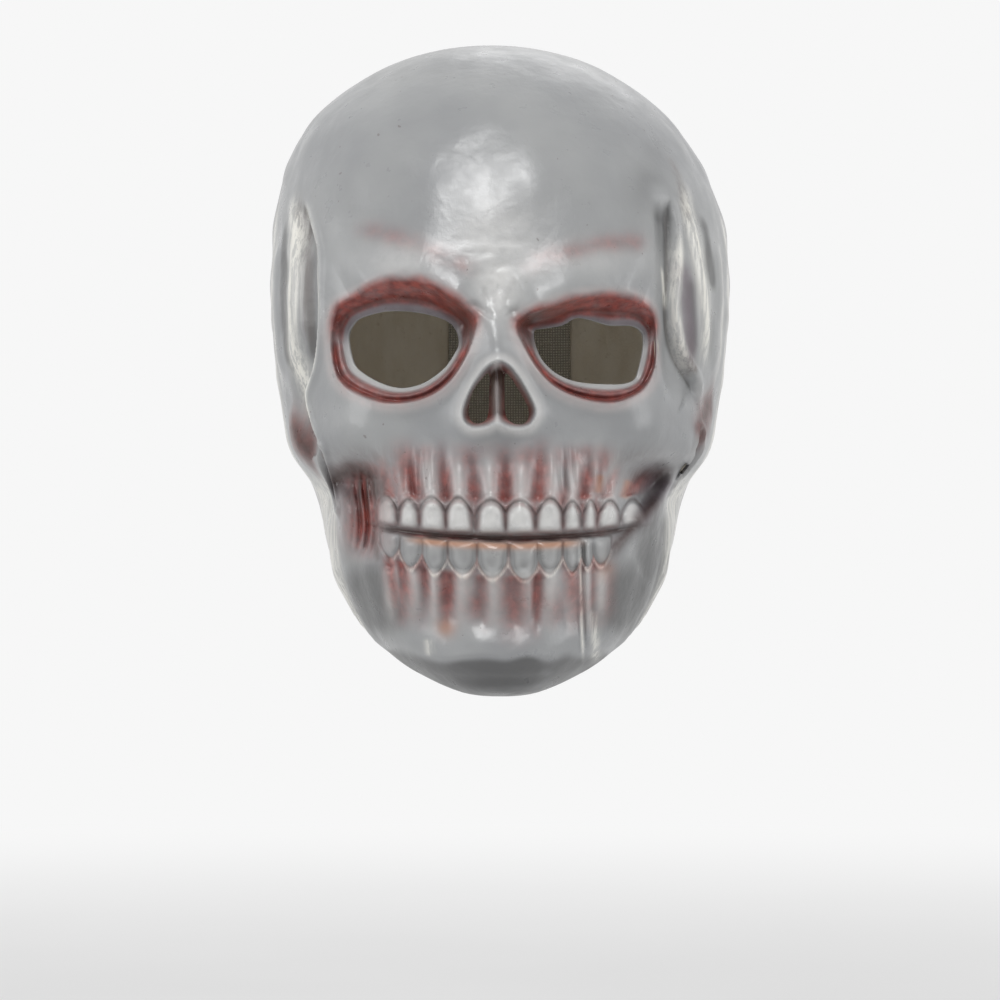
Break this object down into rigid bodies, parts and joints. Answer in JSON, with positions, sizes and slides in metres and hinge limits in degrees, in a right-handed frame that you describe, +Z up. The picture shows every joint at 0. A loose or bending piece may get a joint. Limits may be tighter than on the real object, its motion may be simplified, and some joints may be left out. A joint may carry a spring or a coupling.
{
  "type": "overhead skull mask",
  "caption": "Full overhead latex skull mask with open eye holes and nostrils, a rear slit between two spring-back flaps and a hook-and-loop closure tab.",
  "frame": {"origin": "middle of the wearer's head, level with the pupils", "axes": "+Z up, the face looks towards -Y, +X is the wearer's left"},
  "size_m": [0.1794, 0.2202, 0.2516],
  "materials": {
    "face_latex": "satin-gloss painted latex",
    "back_latex": "satin-gloss painted latex",
    "lining_tape": "latex-soaked cotton",
    "foam": "open-cell foam",
    "webbing": "woven",
    "hook_pile": "moulded hooks",
    "loop_pile": "brushed loops",
    "rivet_steel": "nickel-plated",
    "label": "satin ribbon, blank"
  },
  "bodies": {
    "mask_shell": {"face_casting": "face_latex", "crown_casting": "back_latex", "seam_tape": "lining_tape", "slit_end_patch": "lining_tape", "crown_pad": "foam", "forehead_pad": "foam", "left_temple_pad": "foam", "right_temple_pad": "foam"},
    "left_flap": {"left_flap_casting": "back_latex", "left_slit_tape": "lining_tape", "strap_anchor": "webbing", "strap_rivet_1": "rivet_steel", "strap_rivet_2": "rivet_steel", "care_label": "label"},
    "right_flap": {"right_flap_casting": "back_latex", "right_slit_tape": "lining_tape", "loop_pad": "loop_pile"},
    "closure_tab": {"strap_tongue": "webbing", "hook_pad": "hook_pile"}
  },
  "joints": [
    {"name": "left_flap_spread", "type": "hinge", "parent": "mask_shell", "child": "left_flap", "pos_m": [0.0905, 0.025, -0.036], "axis": [0, 0, -1], "range_deg": [0, 25], "stiffness_Nm_per_rad": 0.3},
    {"name": "right_flap_spread", "type": "hinge", "parent": "mask_shell", "child": "right_flap", "pos_m": [-0.0905, 0.025, -0.036], "axis": [0, 0, 1], "range_deg": [0, 25], "stiffness_Nm_per_rad": 0.3},
    {"name": "closure_peel", "type": "hinge", "parent": "left_flap", "child": "closure_tab", "pos_m": [0.01415, 0.091, -0.072], "axis": [0, 0, -1], "range_deg": [0, 135]}
  ],
  "couplings": [
    {"joint": "right_flap_spread", "follows": "left_flap_spread", "ratio": 1}
  ]
}
